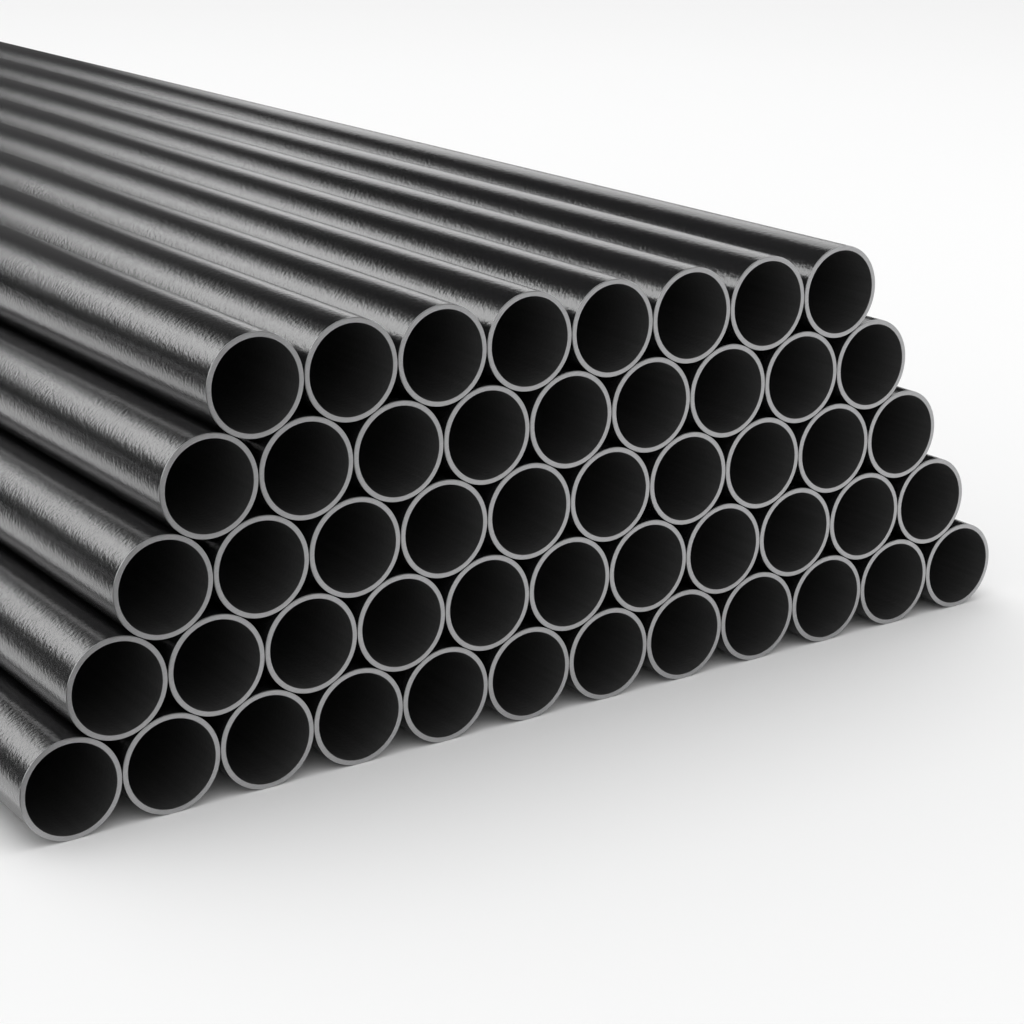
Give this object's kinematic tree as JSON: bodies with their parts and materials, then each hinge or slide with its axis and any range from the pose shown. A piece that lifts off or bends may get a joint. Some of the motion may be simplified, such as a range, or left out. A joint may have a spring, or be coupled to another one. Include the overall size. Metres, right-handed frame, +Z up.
{
  "type": "baluster bundle",
  "caption": "Thin-walled round aluminium balusters with a satin black coat, stacked in nested rows with flush sawn ends, as raw stock for a deck or stair railing.",
  "frame": {"origin": "on the floor, under the middle of the stack", "axes": "+X across the rows, +Y along the tubes towards the back ends, +Z up"},
  "size_m": [0.2296, 0.6604, 0.0854],
  "materials": {
    "black_coat": "satin"
  },
  "bodies": {
    "root": {"baluster_row1_no01": "black_coat", "baluster_row1_no02": "black_coat", "baluster_row1_no03": "black_coat", "baluster_row1_no04": "black_coat", "baluster_row1_no05": "black_coat", "baluster_row1_no06": "black_coat", "baluster_row1_no07": "black_coat", "baluster_row1_no08": "black_coat", "baluster_row1_no09": "black_coat", "baluster_row1_no10": "black_coat", "baluster_row1_no11": "black_coat", "baluster_row1_no12": "black_coat", "baluster_row2_no01": "black_coat", "baluster_row2_no02": "black_coat", "baluster_row2_no03": "black_coat", "baluster_row2_no04": "black_coat", "baluster_row2_no05": "black_coat", "baluster_row2_no06": "black_coat", "baluster_row2_no07": "black_coat", "baluster_row2_no08": "black_coat", "baluster_row2_no09": "black_coat", "baluster_row2_no10": "black_coat", "baluster_row2_no11": "black_coat", "baluster_row3_no01": "black_coat", "baluster_row3_no02": "black_coat", "baluster_row3_no03": "black_coat", "baluster_row3_no04": "black_coat", "baluster_row3_no05": "black_coat", "baluster_row3_no06": "black_coat", "baluster_row3_no07": "black_coat", "baluster_row3_no08": "black_coat", "baluster_row3_no09": "black_coat", "baluster_row3_no10": "black_coat", "baluster_row4_no01": "black_coat", "baluster_row4_no02": "black_coat", "baluster_row4_no03": "black_coat", "baluster_row4_no04": "black_coat", "baluster_row4_no05": "black_coat", "baluster_row4_no06": "black_coat", "baluster_row4_no07": "black_coat", "baluster_row4_no08": "black_coat", "baluster_row4_no09": "black_coat", "baluster_row5_no01": "black_coat", "baluster_row5_no02": "black_coat", "baluster_row5_no03": "black_coat", "baluster_row5_no04": "black_coat", "baluster_row5_no05": "black_coat", "baluster_row5_no06": "black_coat", "baluster_row5_no07": "black_coat", "baluster_row5_no08": "black_coat"}
  },
  "joints": []
}
